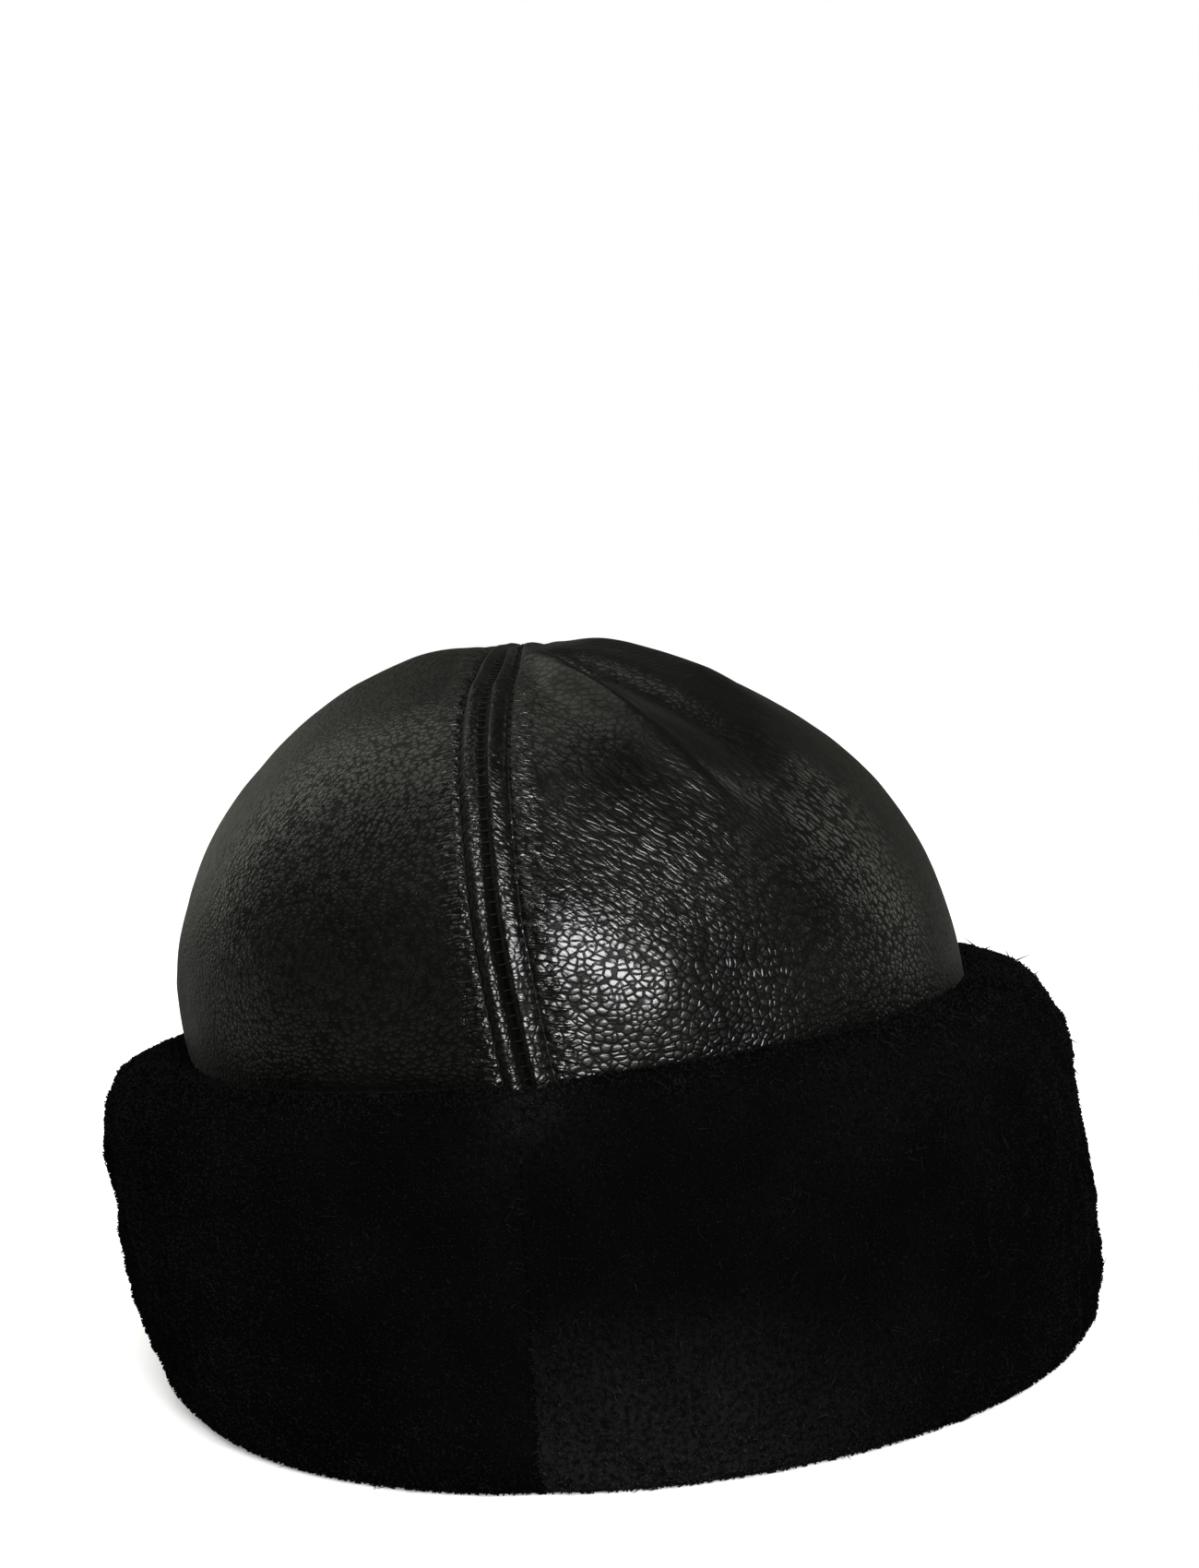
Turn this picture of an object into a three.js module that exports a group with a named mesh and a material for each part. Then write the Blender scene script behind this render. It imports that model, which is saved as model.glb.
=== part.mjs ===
// A shearling hat: a dome of black grained leather with its wool inside, and a turned-up cuff
// with its wool outside. The dome and the cuff are each two halves that meet in one seam,
// which runs from front to back over the top.
// Millimetres, +Z up, the front towards -Y. Left and right are as seen from the front, right
// being +X. The hat rests on the fold of its cuff, at height 0.
import * as THREE from 'three';
import { mergeVertices } from 'three/addons/utils/BufferGeometryUtils.js';

// The dome, sized on its leather side
const CROWN_HALF_WIDTH = 101.5;
const CROWN_HALF_LENGTH = 107;
const WIDEST_HEIGHT = 87.5;
const TOP_HEIGHT = 183.5;
const CROWN_WALL = 8;
const CROWN_FOOT = 8;

// How full the dome is towards each side: 2 and 2 would be an ellipsoid. A larger top makes
// the crest flatter, and a larger side makes the shoulder fuller.
const DOME_FRONT = { top: 2.6, side: 1.75 };
const DOME_LEFT = { top: 1.7, side: 2.3 };
const DOME_RIGHT = { top: 1.65, side: 2.5 };
const SIDE_BLEND = 1.5;

// The hat leans to the left as it rises, about the height where its cuff is fattest
const LEAN = 0.11;
const LEAN_FROM = 52;

// The centre seam's place from side to side
const SEAM_PATH = [
  { height: 0, x: 0 },
  { height: 88, x: 1.4 },
  { height: 123, x: -4.4 },
  { height: 152, x: -8.2 },
  { height: TOP_HEIGHT, x: -12.4 },
];

// The seam in section: a groove, the rolled edge beside it, and the dip of the stitching
const SEAM_RELIEF = [
  { away: 0.15, lift: -2.4 },
  { away: 1.0, lift: -0.4 },
  { away: 2.4, lift: 0.9 },
  { away: 4.0, lift: 0.5 },
  { away: 5.4, lift: -0.6 },
  { away: 7.4, lift: 0 },
  { away: 11, lift: 0 },
];
// The relief ends in the fur, between these two heights
const RELIEF_FADE = { from: 80, to: 92 };

// Soft folds of the dome, each along a line in plan, measured from the middle
const FOLDS = [
  { name: 'pinch ridge', from: [6, -33], to: [66, -62], width: 8, lift: 2 },
  { name: 'hollow behind the ridge', from: [22, -26], to: [80, -40], width: 13, lift: -5 },
  { name: 'left shoulder', from: [-90, -42], to: [-94, -10], width: 14, lift: 1.5 },
];

// The cuff
const CUFF_HEIGHT = 88;
const CUFF_RISE_RIGHT = 5.3;
const CUFF_RISE_FRONT = 2.9;
const CUFF_SETTLE_RIGHT = 3;
const CUFF_THICKNESS = 24.6;
const CUFF_FATTEST = 0.59;
const CUFF_FOOT_SHARE = 0.5;
const TOP_ROUNDNESS = 4.2;
const FOOT_ROUNDNESS = 2.7;
const CREST_SLOPE = 0.03;
const CREST_STAND_OFF = 1.4;
const CREST_DIP = 5;
// The fur parts a little where the cuff's halves meet
const PART_DEPTH = 2.5;
const PART_WIDTH = 6;

// Gap between pieces that touch
const GAP = 0.3;

// Divisions of the mesh
const PANEL_COLUMNS = 26;
const DOME_ROWS = 14;
// The upright wall twists as it leans, so it and the cuff behind it are divided at one height
const WALL_MIDDLE = 44;
const SKIRT_HEIGHTS = [RELIEF_FADE.from, WALL_MIDDLE, CROWN_FOOT];
const CORNER_STEPS = 6;
const CUFF_SEAM_STEP = 2;

const LEATHER = new THREE.MeshStandardMaterial({ color: 0x1a1a19, roughness: 0.45, metalness: 0 });
const FUR = new THREE.MeshStandardMaterial({ color: 0x060606, roughness: 0.95, metalness: 0 });

function axisX(height) {
  return -LEAN * (height - LEAN_FROM);
}

// Straight from one row of the seam's path to the next
function seamX(height) {
  const above = SEAM_PATH.findIndex((row) => row.height >= height);
  const high = SEAM_PATH[above < 0 ? SEAM_PATH.length - 1 : Math.max(above, 1)];
  const low = SEAM_PATH[SEAM_PATH.indexOf(high) - 1];
  const share = (height - low.height) / (high.height - low.height);
  return THREE.MathUtils.lerp(low.x, high.x, share);
}

function domeShape(across, along) {
  const reach = Math.hypot(across, along);
  const sideways = reach > 0 ? Math.abs(across / reach) ** SIDE_BLEND : 0;
  const flank = across > 0 ? DOME_RIGHT : DOME_LEFT;
  return {
    top: THREE.MathUtils.lerp(DOME_FRONT.top, flank.top, sideways),
    side: THREE.MathUtils.lerp(DOME_FRONT.side, flank.side, sideways),
  };
}

// A point of the crown. across and along are shares of the half width and half length, and
// proud is how far the point stands off the leather. Below the widest height the wall is
// upright, and a point there is given by its height.
function crownPoint(across, along, proud, uprightHeight) {
  let height = uprightHeight;
  if (height === undefined) {
    const shape = domeShape(across, along);
    const reach = Math.min(1, Math.hypot(across, along));
    const rise = (1 - reach ** shape.top) ** (1 / shape.side);
    height = WIDEST_HEIGHT + (TOP_HEIGHT - WIDEST_HEIGHT + proud) * rise;
  }
  const middle = axisX(height);
  const seamShift = (seamX(height) - middle) * (1 - across * across);
  return new THREE.Vector3(
    middle + seamShift + (CROWN_HALF_WIDTH + proud) * across,
    (CROWN_HALF_LENGTH + proud) * along,
    height,
  );
}

// The directions in which a half is divided, from the front seam round to the back seam. Near
// the seams they keep a constant distance from it, and between them they fan out from a point
// beside the top. Each has its foot on the unit circle, and top, the share across where it
// starts.
function halfDirections(side, stripStep) {
  const strip = SEAM_RELIEF.filter((row, i) => i % stripStep === 0);
  const front = strip.map((row) => {
    const across = row.away / CROWN_HALF_WIDTH;
    return { top: across, across, along: -Math.sqrt(1 - across * across), away: row.away };
  });
  const edge = front[front.length - 1];
  const back = front.map((column) => ({ ...column, along: -column.along })).reverse();
  const halfTurn = Math.acos(edge.across);
  const panel = [];
  for (let k = 1; k < PANEL_COLUMNS; k++) {
    const turn = THREE.MathUtils.lerp(-halfTurn, halfTurn, k / PANEL_COLUMNS);
    panel.push({ top: edge.top, across: Math.cos(turn), along: Math.sin(turn), away: Infinity });
  }
  return [...front, ...panel, ...back].map((column) => ({
    ...column,
    top: side * column.top,
    across: side * column.across,
  }));
}

function distanceToLine(x, y, from, to) {
  const line = new THREE.Line3(new THREE.Vector3(...from, 0), new THREE.Vector3(...to, 0));
  const point = new THREE.Vector3(x, y, 0);
  return line.closestPointToPoint(point, true, new THREE.Vector3()).distanceTo(point);
}

// How far seams and folds lift the leather at a point of the dome
function crownRelief(column, across, along, height) {
  const inSight = THREE.MathUtils.smoothstep(height, RELIEF_FADE.from, RELIEF_FADE.to);
  const seam = SEAM_RELIEF.find((row) => row.away === column.away)?.lift ?? 0;
  const x = across * CROWN_HALF_WIDTH;
  const y = along * CROWN_HALF_LENGTH;
  const folds = FOLDS.reduce((sum, fold) => {
    const distance = distanceToLine(x, y, fold.from, fold.to);
    return sum + fold.lift * Math.exp(-((distance / fold.width) ** 2));
  }, 0);
  return inSight * (seam + folds);
}

// One face of a crown half, as columns of points from the top down to the foot
function crownSheet(side, isOutside) {
  return halfDirections(side, 1).map((column) => {
    const points = [];
    for (let row = 0; row <= DOME_ROWS; row++) {
      const share = Math.sin((Math.PI / 2) * (row / DOME_ROWS));
      const across = THREE.MathUtils.lerp(column.top, column.across, share);
      const along = share * column.along;
      const plain = crownPoint(across, along, 0);
      const proud = isOutside ? crownRelief(column, across, along, plain.z) : -CROWN_WALL;
      points.push(crownPoint(across, along, proud));
    }
    for (const height of SKIRT_HEIGHTS) {
      const proud = isOutside ? 0 : -CROWN_WALL;
      points.push(crownPoint(column.across, column.along, proud, height));
    }
    return points;
  });
}

// Collects triangles and four-sided faces, and makes one closed body of them
class Body {
  constructor() {
    this.corners = [];
  }

  triangle(a, b, c) {
    const isThin = a.distanceTo(b) < 1e-6 || b.distanceTo(c) < 1e-6 || c.distanceTo(a) < 1e-6;
    if (!isThin) {
      this.corners.push(a, b, c);
    }
  }

  quad(a, b, c, d) {
    this.triangle(a, b, c);
    this.triangle(a, c, d);
  }

  volume() {
    let sum = 0;
    for (let i = 0; i < this.corners.length; i += 3) {
      const [a, b, c] = this.corners.slice(i, i + 3);
      sum += a.dot(new THREE.Vector3().crossVectors(b, c)) / 6;
    }
    return sum;
  }

  geometry() {
    if (this.volume() < 0) {
      this.corners.reverse();
    }
    const loose = new THREE.BufferGeometry().setFromPoints(this.corners);
    const merged = mergeVertices(loose, 1e-4);
    merged.computeVertexNormals();
    return merged;
  }
}

function crownHalf(side) {
  const outside = crownSheet(side, true);
  const inside = crownSheet(side, false);
  const body = new Body();
  const lastColumn = outside.length - 1;
  const lastRow = outside[0].length - 1;
  for (let c = 0; c < lastColumn; c++) {
    for (let r = 0; r < lastRow; r++) {
      body.quad(outside[c][r], outside[c + 1][r], outside[c + 1][r + 1], outside[c][r + 1]);
      body.quad(inside[c][r + 1], inside[c + 1][r + 1], inside[c + 1][r], inside[c][r]);
    }
    body.quad(
      outside[c][lastRow], outside[c + 1][lastRow], inside[c + 1][lastRow], inside[c][lastRow],
    );
  }
  for (let r = 0; r < lastRow; r++) {
    body.quad(outside[0][r], outside[0][r + 1], inside[0][r + 1], inside[0][r]);
    body.quad(
      inside[lastColumn][r], inside[lastColumn][r + 1],
      outside[lastColumn][r + 1], outside[lastColumn][r],
    );
  }
  return body.geometry();
}

// The cuff's height in a direction
function cuffHeight(across, along) {
  const settle = CUFF_SETTLE_RIGHT * Math.max(across, 0) ** 3;
  return CUFF_HEIGHT + CUFF_RISE_RIGHT * across - CUFF_RISE_FRONT * along - settle;
}

// The cuff's section, as a closed loop. out is the distance from the leather, and up is a
// height. It starts under the crown's foot, climbs the crown's wall and comes down outside.
function cuffSection(height, thickness) {
  const fattest = CUFF_FATTEST * height;
  const foot = CUFF_FOOT_SHARE * thickness;
  const loop = [
    { out: -CROWN_WALL, up: CROWN_FOOT - GAP },
    { out: GAP, up: CROWN_FOOT - GAP },
    { out: GAP, up: WALL_MIDDLE },
    { out: GAP, up: RELIEF_FADE.from - 1 },
    { out: CREST_STAND_OFF, up: height - CREST_DIP / 2 },
  ];
  for (let i = 1; i <= CORNER_STEPS; i++) {
    const turn = (Math.PI / 2) * (i / CORNER_STEPS);
    const out = Math.sin(turn) ** (2 / TOP_ROUNDNESS);
    const up = Math.cos(turn) ** (2 / TOP_ROUNDNESS);
    const slope = i < CORNER_STEPS ? CREST_SLOPE * height * out : 0;
    loop.push({ out: thickness * out, up: fattest + (height - fattest) * up - slope });
  }
  for (let i = 1; i <= CORNER_STEPS; i++) {
    const turn = (Math.PI / 2) * (i / CORNER_STEPS);
    const out = Math.cos(turn) ** (2 / FOOT_ROUNDNESS);
    const up = i < CORNER_STEPS ? 1 - Math.sin(turn) ** (2 / FOOT_ROUNDNESS) : 0;
    loop.push({ out: foot + (thickness - foot) * out, up: fattest * up });
  }
  loop.push({ out: -CROWN_WALL / 2, up: 0 });
  loop.push({ out: -CROWN_WALL, up: CROWN_FOOT / 3 });
  return loop;
}

function cuffHalf(side) {
  const sections = halfDirections(side, CUFF_SEAM_STEP).map((column) => {
    const parting = PART_DEPTH * Math.exp(-((column.away / PART_WIDTH) ** 2));
    const height = cuffHeight(column.across, column.along) - parting;
    return cuffSection(height, CUFF_THICKNESS - parting).map(
      ({ out, up }) => crownPoint(column.across, column.along, out, up),
    );
  });
  const body = new Body();
  const count = sections[0].length;
  for (let c = 0; c < sections.length - 1; c++) {
    for (let i = 0; i < count; i++) {
      const next = (i + 1) % count;
      body.quad(sections[c][i], sections[c][next], sections[c + 1][next], sections[c + 1][i]);
    }
  }
  const outline = cuffSection(CUFF_HEIGHT, CUFF_THICKNESS);
  const flat = outline.map(({ out, up }) => new THREE.Vector2(out, up));
  const first = sections[0];
  const last = sections[sections.length - 1];
  // The loop runs clockwise, and its triangles come back counter-clockwise
  for (const [a, b, c] of THREE.ShapeUtils.triangulateShape(flat, [])) {
    body.triangle(first[a], first[b], first[c]);
    body.triangle(last[c], last[b], last[a]);
  }
  return body.geometry();
}

function piece(name, geometry, material) {
  const mesh = new THREE.Mesh(geometry, material);
  mesh.name = name;
  return mesh;
}

const hat = new THREE.Group();
hat.add(piece('crown_left', crownHalf(-1), LEATHER));
hat.add(piece('crown_right', crownHalf(1), LEATHER));
hat.add(piece('cuff_left', cuffHalf(-1), FUR));
hat.add(piece('cuff_right', cuffHalf(1), FUR));

// The origin is below the middle of the hat's box
const box = new THREE.Box3().setFromObject(hat);
const middle = box.getCenter(new THREE.Vector3());
hat.position.set(-middle.x, -middle.y, -box.min.z);
hat.updateMatrixWorld(true);

export default hat;
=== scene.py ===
# %% [markdown]
# A black shearling hat, built in Blender around a finished construction model.
# The construction model is the frame: it says where every piece is and how large it is. This
# lesson gives each piece its real surface: grained leather with a sewn seam over the top, a
# thick cuff of sheared fur, and the wool inside. The frame is loaded first, because
# everything below is placed by it.

# %% Load the frame
import math

import bmesh
import bpy
import numpy as np
from mathutils import Matrix, Vector, noise


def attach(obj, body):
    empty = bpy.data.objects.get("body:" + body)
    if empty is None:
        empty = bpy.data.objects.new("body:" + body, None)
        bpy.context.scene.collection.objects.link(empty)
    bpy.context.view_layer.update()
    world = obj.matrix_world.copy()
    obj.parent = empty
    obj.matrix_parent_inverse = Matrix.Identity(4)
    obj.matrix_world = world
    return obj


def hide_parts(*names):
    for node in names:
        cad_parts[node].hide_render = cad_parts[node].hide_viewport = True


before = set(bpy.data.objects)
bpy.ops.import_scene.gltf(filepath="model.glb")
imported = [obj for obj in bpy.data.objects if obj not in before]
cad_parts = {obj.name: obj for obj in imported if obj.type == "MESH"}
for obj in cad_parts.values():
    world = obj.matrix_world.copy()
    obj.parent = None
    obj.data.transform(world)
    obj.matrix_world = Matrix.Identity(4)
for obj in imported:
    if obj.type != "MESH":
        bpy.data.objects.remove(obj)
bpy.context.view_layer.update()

MM = 0.001

# %% [markdown]
# The camera comes before the pieces. A hat photographed from close by shows strong
# perspective: we look level at its top and down on its foot. The camera therefore stands only
# 0.6 m away, a little above the crown, and is turned a few degrees about its own line of sight,
# because the hat leans in the picture. Aiming above the hat puts it low in the frame, so the
# lens needs no shift.

# %% Set the camera
CAMERA_DISTANCE = 617.5
CAMERA_HEIGHT = 190
CAMERA_AZIMUTH = math.radians(8.5)
CAMERA_ROLL = math.radians(4.2)
AIM_ASIDE = 5.4
AIM_HEIGHT = 144.4
FRAME_SENSOR = 36
LENS = 54


def set_camera():
    """A camera on a circle about the hat, rolled about its line of sight."""
    sideways = Vector((math.cos(CAMERA_AZIMUTH), math.sin(CAMERA_AZIMUTH), 0))
    backwards = Vector((math.sin(CAMERA_AZIMUTH), -math.cos(CAMERA_AZIMUTH), 0))
    place = (backwards * CAMERA_DISTANCE + Vector((0, 0, CAMERA_HEIGHT))) * MM
    aim = (sideways * AIM_ASIDE + Vector((0, 0, AIM_HEIGHT))) * MM
    data = bpy.data.cameras.new("camera")
    data.lens = LENS
    data.sensor_width = FRAME_SENSOR
    camera = bpy.data.objects.new("camera", data)
    bpy.context.scene.collection.objects.link(camera)
    level = (aim - place).to_track_quat("-Z", "Y").to_matrix().to_4x4()
    camera.matrix_world = Matrix.Translation(place) @ level @ Matrix.Rotation(-CAMERA_ROLL, 4, "Z")
    bpy.context.scene.camera = camera
    return camera


camera = set_camera()
print("camera stands at", tuple(round(v, 3) for v in camera.matrix_world.translation))

# %% [markdown]
# The hat's form is one function, crown_point. It takes a direction in plan as two shares,
# across and along, from -1 to 1, and gives a point of the leather in millimetres. Below the
# widest height the wall is upright, and the point is chosen by its height instead. A last value,
# proud, moves the point off the leather, so the same function places the leather, the wool
# inside it and the fur outside it, and the layers can't drift apart.

# %% The form of the hat
CROWN_HALF_WIDTH = 101.5
CROWN_HALF_LENGTH = 107
WIDEST_HEIGHT = 87.5
TOP_HEIGHT = 183.5
CROWN_WALL = 8
CROWN_FOOT = 8
DOME_FRONT = {"top": 2.6, "side": 1.75}
DOME_LEFT = {"top": 1.7, "side": 2.3}
DOME_RIGHT = {"top": 1.65, "side": 2.5}
SIDE_BLEND = 1.5
LEAN = 0.11
LEAN_FROM = 52
SEAM_PATH = [
    {"height": 0, "x": 0},
    {"height": 88, "x": 1.4},
    {"height": 123, "x": -4.4},
    {"height": 152, "x": -8.2},
    {"height": TOP_HEIGHT, "x": -12.4},
]


def axis_x(height):
    """The hat leans to the left as it rises."""
    return -LEAN * (height - LEAN_FROM)


def seam_x(height):
    """The centre seam's place from side to side."""
    heights = [row["height"] for row in SEAM_PATH]
    places = [row["x"] for row in SEAM_PATH]
    return np.interp(height, heights, places)


def dome_power(name, across, sideways):
    """The dome's roundness, blended from the front towards its left or right side."""
    flank = np.where(across > 0, DOME_RIGHT[name], DOME_LEFT[name])
    return DOME_FRONT[name] + (flank - DOME_FRONT[name]) * sideways


def crown_point(across, along, proud=0.0, upright=None):
    """Points in millimetres. upright holds heights, or NaN where the point is on the dome."""
    reach = np.minimum(1, np.hypot(across, along))
    sideways = (np.abs(across) / np.maximum(reach, 1e-9)) ** SIDE_BLEND
    fullness = 1 - reach ** dome_power("top", across, sideways)
    rise = fullness ** (1 / dome_power("side", across, sideways))
    height = WIDEST_HEIGHT + (TOP_HEIGHT - WIDEST_HEIGHT + proud) * rise
    if upright is not None:
        height = np.where(np.isnan(upright), height, upright)
    middle = axis_x(height)
    shift = (seam_x(height) - middle) * (1 - across * across)
    x = middle + shift + (CROWN_HALF_WIDTH + proud) * across
    y = (CROWN_HALF_LENGTH + proud) * along
    return np.stack([x, y + 0 * x, height + 0 * x], axis=-1)


print("top of the dome, in mm:", crown_point(0.0, 0.0).round(1))

# %% [markdown]
# A half of the hat is divided into columns that run from the top down to the foot. Beside the
# seam the columns keep a constant distance from it, all the way from front to back over the
# top, so that the seam's rolled edge and stitching stay even. The other columns fan out from
# a point beside the top. Many polygons go where the seam is and few where the leather is plain.

# %% Columns and rows of a half
# Stands for the distance from the seam in the columns that fan out
FAR_FROM_SEAM = 99.0


def half_columns(side, strip, panel_count):
    """Columns of a half: shares across at the top and foot, share along, distance from the seam."""
    strip = np.asarray(strip, float)
    across = strip / CROWN_HALF_WIDTH
    along = np.sqrt(1 - across**2)
    half_turn = math.acos(across[-1])
    turns = np.linspace(-half_turn, half_turn, panel_count + 1)[1:-1]
    top = np.concatenate([across, np.full(len(turns), across[-1]), across[::-1]])
    foot = np.concatenate([across, np.cos(turns), across[::-1]])
    ahead = np.concatenate([-along, np.sin(turns), along[::-1]])
    away = np.concatenate([strip, np.full(len(turns), FAR_FROM_SEAM), strip[::-1]])
    return {"top": side * top, "across": side * foot, "along": ahead, "away": away}


def dome_grid(columns, rows, skirt):
    """Shares across and along, and upright heights, for every point of a half."""
    share = np.sin(np.linspace(0, math.pi / 2, rows + 1))
    share = np.concatenate([share, np.ones(len(skirt))])
    upright = np.concatenate([np.full(rows + 1, np.nan), skirt])
    top, foot = columns["top"][:, None], columns["across"][:, None]
    across = top + (foot - top) * share
    along = columns["along"][:, None] * share
    return across, along, np.broadcast_to(upright, across.shape)


print("two columns beside the seam and three panels make",
      len(half_columns(1, [1, 5], 3)["away"]), "columns")

# %% [markdown]
# Meshes are made from arrays, because a loop over every vertex would be slow. A shell is two
# grids of points, outside and inside, joined along their edges into one closed body. The
# columns share their top points, so the doubles are merged afterwards, which turns the
# flattened quads there into triangles. Soft lumps come from noise of two sizes.

# %% Mesh helpers
# The frame is centred on the hat's whole box, and crown_point on the middle of its foot
SHIFT_X = -0.594
MERGE_DISTANCE = 0.002
# How far each seed moves the place where the noise is read
SEED_STEPS = (17.3, 5.1, 9.7)


def link_mesh(name, vertices_mm, faces, material, smooth=True):
    """Makes an object from points in millimetres and an array of faces with equal corners."""
    faces = np.asarray(faces, np.int32)
    count, corners = faces.shape
    mesh = bpy.data.meshes.new(name)
    mesh.vertices.add(len(vertices_mm))
    placed = (np.asarray(vertices_mm) + [SHIFT_X, 0, 0]) * MM
    mesh.vertices.foreach_set("co", placed.astype(np.float32).ravel())
    mesh.loops.add(count * corners)
    mesh.loops.foreach_set("vertex_index", faces.ravel())
    mesh.polygons.add(count)
    mesh.polygons.foreach_set("loop_start", np.arange(count, dtype=np.int32) * corners)
    mesh.polygons.foreach_set("use_smooth", np.full(count, smooth))
    mesh.update(calc_edges=True)
    mesh.validate()
    piece = bpy.data.objects.new(name, mesh)
    bpy.context.scene.collection.objects.link(piece)
    mesh.materials.append(material)
    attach(piece, "root")
    return piece


def grid_faces(index):
    """Quads between neighbours of a grid of vertex numbers."""
    a, b, c, d = index[:-1, :-1], index[1:, :-1], index[1:, 1:], index[:-1, 1:]
    return np.stack([a, b, c, d], axis=-1).reshape(-1, 4)


def shell_faces(columns, rows):
    """Faces of a closed shell whose outside and inside grids have columns x rows points."""
    outside = np.arange(columns * rows).reshape(columns, rows)
    inside = outside + columns * rows
    faces = [grid_faces(outside), grid_faces(inside)[:, ::-1]]
    rims = ((outside[:, -1], inside[:, -1]), (inside[0], outside[0]), (outside[-1], inside[-1]))
    for first, second in rims:
        faces.append(np.stack([first[:-1], second[:-1], second[1:], first[1:]], axis=-1))
    return np.concatenate(faces)


def tidy_mesh(piece):
    """Merges double points and turns every face outwards."""
    work = bmesh.new()
    work.from_mesh(piece.data)
    bmesh.ops.remove_doubles(work, verts=work.verts, dist=MERGE_DISTANCE * MM)
    bmesh.ops.recalc_face_normals(work, faces=work.faces)
    work.to_mesh(piece.data)
    work.free()


def smooth_noise(points_mm, size, seed):
    """Soft noise between about -1 and 1, with features of a size in millimetres."""
    offset = Vector([seed * step for step in SEED_STEPS])
    flat = np.asarray(points_mm).reshape(-1, 3) / size
    values = [noise.noise(Vector(point) + offset) for point in flat]
    return np.array(values).reshape(np.asarray(points_mm).shape[:-1])


def lumps(points_mm, sizes):
    """Soft noises added up, each with its own height, size and seed."""
    return sum(row["height"] * smooth_noise(points_mm, row["size"], row["seed"]) for row in sizes)


print("a grid of 3 by 4 points has", len(grid_faces(np.arange(12).reshape(3, 4))), "quads")

# %% [markdown]
# Leather grain is small domes of skin with narrow creases between them. A Voronoi texture gives
# just that: the distance from the middle of a cell makes the dome, and the distance to the
# cell's border makes the crease. Where the skin is pulled over the form the domes stretch into
# lines. The group below mixes round and stretched domes by a mask, and puts out a height for a
# Bump node and a mask of the creases. It is a group, because both halves of the crown use it,
# each with its own direction of pull.

# %% Node group: leather grain
GRAIN_SIZE = 1.5
# A cell is highest in its middle and falls to a crease at its border
DOME_FALL = 0.8
CREASE_WIDTH = 0.2
CREASE_FLOOR = 0.65
# The cells are pushed about a little, because real grain is uneven
PUSH_SCALE = 220.0
PUSH = 1.6
ROUND_CELLS = (0.85, 1.0, 1.15)
LONG_CELLS = (0.36, 1.0, 1.7)
PORE_SCALE = 2600.0
PORE_HEIGHT = 0.16
# Below the first height a place counts as crease, and above the second it doesn't
CREASE_HEIGHTS = (0.6, 0.9)


def new_group(name, inputs, outputs):
    """A shader node group with named float, vector and colour sockets."""
    group = bpy.data.node_groups.new(name, "ShaderNodeTree")
    for label, kind, value in inputs:
        socket = group.interface.new_socket(name=label, in_out="INPUT", socket_type=kind)
        if value is not None:
            socket.default_value = value
    for label, kind in outputs:
        group.interface.new_socket(name=label, in_out="OUTPUT", socket_type=kind)
    start = group.nodes.new("NodeGroupInput")
    end = group.nodes.new("NodeGroupOutput")
    return group, start, end


class Tree:
    """A short way to add nodes and join them."""

    def __init__(self, tree):
        self.nodes, self.links = tree.nodes, tree.links

    def add(self, kind, values=None, **settings):
        """A node with its settings, its inputs given as numbers or as other nodes' outputs."""
        node = self.nodes.new(kind)
        for key, value in settings.items():
            setattr(node, key, value)
        for key, value in (values or {}).items():
            self.put(node.inputs[key], value)
        return node

    def put(self, socket, value):
        """Joins a socket to another node's output, or sets its number or colour."""
        if isinstance(value, bpy.types.NodeSocket):
            self.links.new(value, socket)
        else:
            socket.default_value = value

    def maths(self, operation, first, second=0.0, third=0.0):
        """One number out of up to three."""
        values = {0: first, 1: second, 2: third}
        return self.add("ShaderNodeMath", values, operation=operation).outputs[0]

    def blend(self, share, low, high):
        """Between two numbers by a share."""
        node = self.add("ShaderNodeMix", {0: share, 2: low, 3: high}, data_type="FLOAT")
        return node.outputs[0]

    def remap(self, value, low, high, to_low=0.0, to_high=1.0):
        """A smooth step from one number to another."""
        values = {0: value, 1: low, 2: high, 3: to_low, 4: to_high}
        return self.add("ShaderNodeMapRange", values, interpolation_type="SMOOTHSTEP").outputs[0]


def domes(tree, vector, scale):
    """Voronoi cells as low domes with narrow creases between them, from 0 to 1."""
    values = {"Vector": vector, "Scale": scale}
    cells = tree.add("ShaderNodeTexVoronoi", values, feature="F1")
    borders = tree.add("ShaderNodeTexVoronoi", values, feature="DISTANCE_TO_EDGE")
    squared = tree.maths("MULTIPLY", cells.outputs["Distance"], cells.outputs["Distance"])
    dome = tree.maths("MULTIPLY_ADD", squared, -DOME_FALL, 1.0)
    crease = tree.remap(borders.outputs["Distance"], 0.0, CREASE_WIDTH, CREASE_FLOOR, 1.0)
    return tree.maths("MULTIPLY", dome, crease)


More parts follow.
